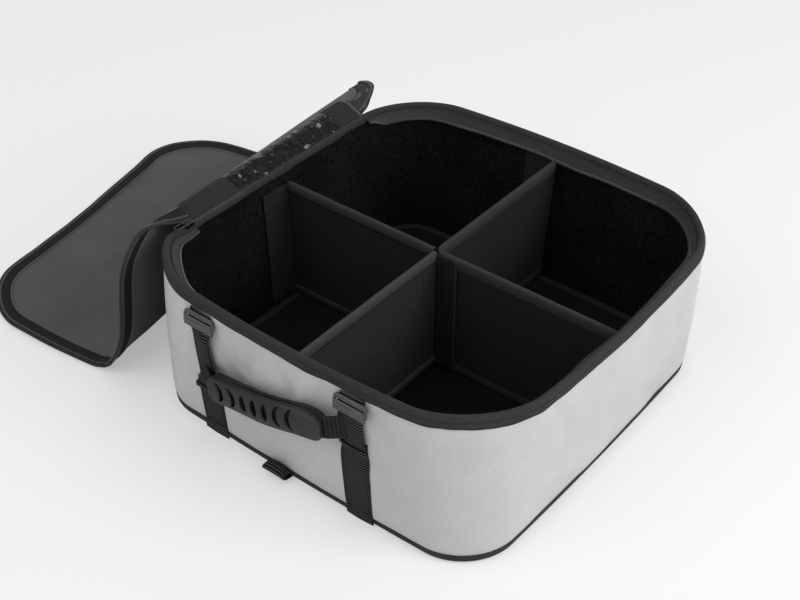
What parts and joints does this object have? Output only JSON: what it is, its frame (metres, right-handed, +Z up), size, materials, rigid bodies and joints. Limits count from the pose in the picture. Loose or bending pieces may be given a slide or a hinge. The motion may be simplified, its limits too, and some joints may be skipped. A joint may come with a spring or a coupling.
{
  "type": "folding storage box",
  "caption": "Soft-sided folding storage box with a dark lined inside split by crossed dividers, a zip lid laid open over one side, and strap handles.",
  "frame": {"origin": "middle of the base's underside", "axes": "+X along the front face to the right, +Y to the back, +Z up"},
  "size_m": [0.7733, 0.485, 0.1879],
  "materials": {
    "shell_cloth": "light grey coated woven cloth, semi-matt, softly creased",
    "dark_cloth": "dark grey woven cloth",
    "lid_cloth": "dark grey smooth woven cloth with faint creases",
    "pile_lining": "black brushed loop pile",
    "binding_tape": "dark grey woven tape with two rows of stitches",
    "zip_tape": "black woven zip tape",
    "board": "plain stiffening board, hidden",
    "divider_cloth": "dark ribbed cloth over board",
    "webbing": "black ribbed webbing",
    "buckle_plastic": "black moulded plastic",
    "grip_plastic": "dark grey moulded plastic, satin",
    "zip_metal": "dark plated metal",
    "patch_film": "glossy puckered film"
  },
  "bodies": {
    "root": {"back_buckle_left": "buckle_plastic", "back_buckle_right": "buckle_plastic", "back_strap_left": "webbing", "back_strap_right": "webbing", "base_binding": "dark_cloth", "base_board": "board", "base_cloth": "dark_cloth", "base_tab_front": "webbing", "divider_back": "divider_cloth", "divider_back_binding": "binding_tape", "divider_back_centre_flap": "divider_cloth", "divider_back_wall_flap": "divider_cloth", "divider_front": "divider_cloth", "divider_front_binding": "binding_tape", "divider_front_centre_flap": "divider_cloth", "divider_front_wall_flap": "divider_cloth", "divider_left": "divider_cloth", "divider_left_binding": "binding_tape", "divider_left_wall_flap": "divider_cloth", "divider_right": "divider_cloth", "divider_right_binding": "binding_tape", "divider_right_wall_flap": "divider_cloth", "floor_pad": "divider_cloth", "floor_pad_binding": "binding_tape", "front_buckle_left": "buckle_plastic", "front_buckle_right": "buckle_plastic", "front_strap_left": "webbing", "front_strap_right": "webbing", "outer_shell": "shell_cloth", "rim_binding": "binding_tape", "rim_zip_tape": "zip_tape", "stiffener_back": "board", "stiffener_front": "board", "stiffener_left": "board", "stiffener_right": "board", "wall_lining": "pile_lining", "zip_slider": "zip_metal"},
    "lid_band": {"lid_hinge_band": "lid_cloth", "hinge_patch": "patch_film"},
    "lid_drape": {"lid_panel_near": "lid_cloth", "lid_zip_tape_front": "zip_tape", "lid_zip_tape_back": "zip_tape"},
    "lid_floor": {"lid_panel_far": "lid_cloth", "lid_zip_tape_end": "zip_tape"},
    "front_handle": {"front_handle_grip": "grip_plastic", "front_handle_webbing": "webbing"},
    "back_handle": {"back_handle_grip": "grip_plastic", "back_handle_webbing": "webbing"},
    "zip_pull": {"zip_puller": "zip_metal"}
  },
  "joints": [
    {"name": "lid_hinge", "type": "hinge", "parent": "root", "child": "lid_band", "pos_m": [-0.21195, 0, 0.1754], "axis": [0, 1, 0], "range_deg": [0, 152]},
    {"name": "lid_crest_fold", "type": "hinge", "parent": "lid_band", "child": "lid_drape", "pos_m": [-0.23314, -0.133, 0.18667], "axis": [-0.0436, 0.9984, -0.0353], "range_deg": [0, 102.09]},
    {"name": "lid_floor_fold", "type": "hinge", "parent": "lid_drape", "child": "lid_floor", "pos_m": [-0.27919, -0.2093, 0.0035], "axis": [0.1303, -0.9898, -0.0578], "range_deg": [0, 74.15]},
    {"name": "front_handle_swing", "type": "hinge", "parent": "root", "child": "front_handle", "pos_m": [-0.017, -0.2265, 0.1335], "axis": [-1, 0, 0], "range_deg": [0, 90]},
    {"name": "back_handle_swing", "type": "hinge", "parent": "root", "child": "back_handle", "pos_m": [0.004, 0.2245, 0.125], "axis": [1, 0, 0], "range_deg": [0, 90]},
    {"name": "zip_puller_swing", "type": "hinge", "parent": "root", "child": "zip_pull", "pos_m": [-0.20547, -0.1412, 0.1793], "axis": [-1, 0, 0], "range_deg": [0, 150]}
  ],
  "couplings": [
    {"joint": "lid_crest_fold", "follows": "lid_hinge", "ratio": 0.67163},
    {"joint": "lid_floor_fold", "follows": "lid_hinge", "ratio": 0.48779}
  ]
}
